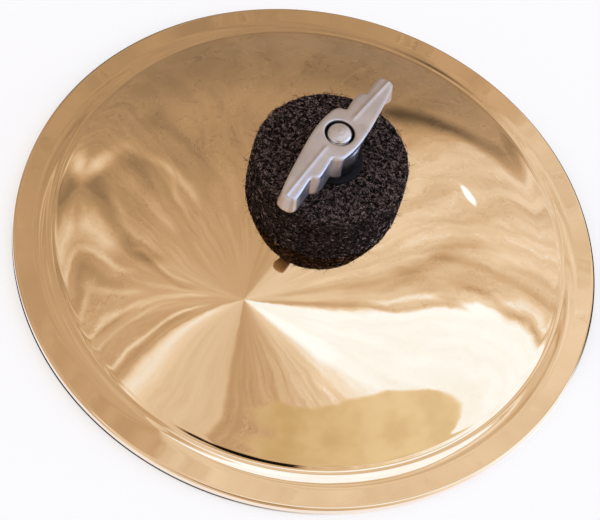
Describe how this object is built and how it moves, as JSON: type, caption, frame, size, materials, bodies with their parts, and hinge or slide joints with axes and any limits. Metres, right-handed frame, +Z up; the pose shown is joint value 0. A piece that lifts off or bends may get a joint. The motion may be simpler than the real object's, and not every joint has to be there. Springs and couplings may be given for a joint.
{
  "type": "bell cymbal",
  "caption": "Thick polished bronze bell cymbal with a flared rim, held between felts on a threaded stud by a wing nut; it spins, rocks on its felts and unscrews.",
  "frame": {"origin": "centre of the circle on which the rim stands, in the rim plane", "axes": "+Z up along the stud, from the bell's mouth to the wing nut; +X and +Y in the rim plane, +X along the rocking axis"},
  "size_m": [0.1524, 0.1524, 0.0543],
  "materials": {
    "polished_bronze": "mirror polished",
    "charcoal_felt": "dense pressed felt",
    "black_nylon": "moulded",
    "stud_steel": "bright zinc",
    "plated_steel": "bright nickel",
    "black_fibre": "matt",
    "cast_wing_metal": "satin plated casting"
  },
  "bodies": {
    "stem": {"threaded_stud": "stud_steel", "seat_washer": "plated_steel", "lock_nut": "plated_steel", "coupling_nut": "plated_steel"},
    "cushions": {"hole_sleeve": "black_nylon", "lower_felt": "charcoal_felt", "upper_felt": "charcoal_felt"},
    "bell": {"bell_cymbal": "polished_bronze"},
    "nut_foot": {"foot_washer": "black_fibre"},
    "wing": {"wing_nut": "cast_wing_metal"}
  },
  "joints": [
    {"name": "bell_spin", "type": "hinge", "parent": "stem", "child": "cushions", "pos_m": [0, 0, 0.0254], "axis": [0, 0, 1], "continuous": true},
    {"name": "bell_rock", "type": "hinge", "parent": "cushions", "child": "bell", "pos_m": [0, 0, 0.0254], "axis": [1, 0, 0], "range_deg": [-6, 6], "stiffness_Nm_per_rad": 3, "deforming": ["upper_felt", "lower_felt"]},
    {"name": "nut_lift", "type": "slide", "parent": "stem", "child": "nut_foot", "axis": [0, 0, 1], "range_m": [0, 0.0103]},
    {"name": "nut_turn", "type": "hinge", "parent": "nut_foot", "child": "wing", "pos_m": [0, 0, 0.0432], "axis": [0, 0, 1], "range_deg": [0, 3690]}
  ],
  "couplings": [
    {"joint": "nut_lift", "follows": "nut_turn", "m_per_rad": 0.00015915}
  ]
}
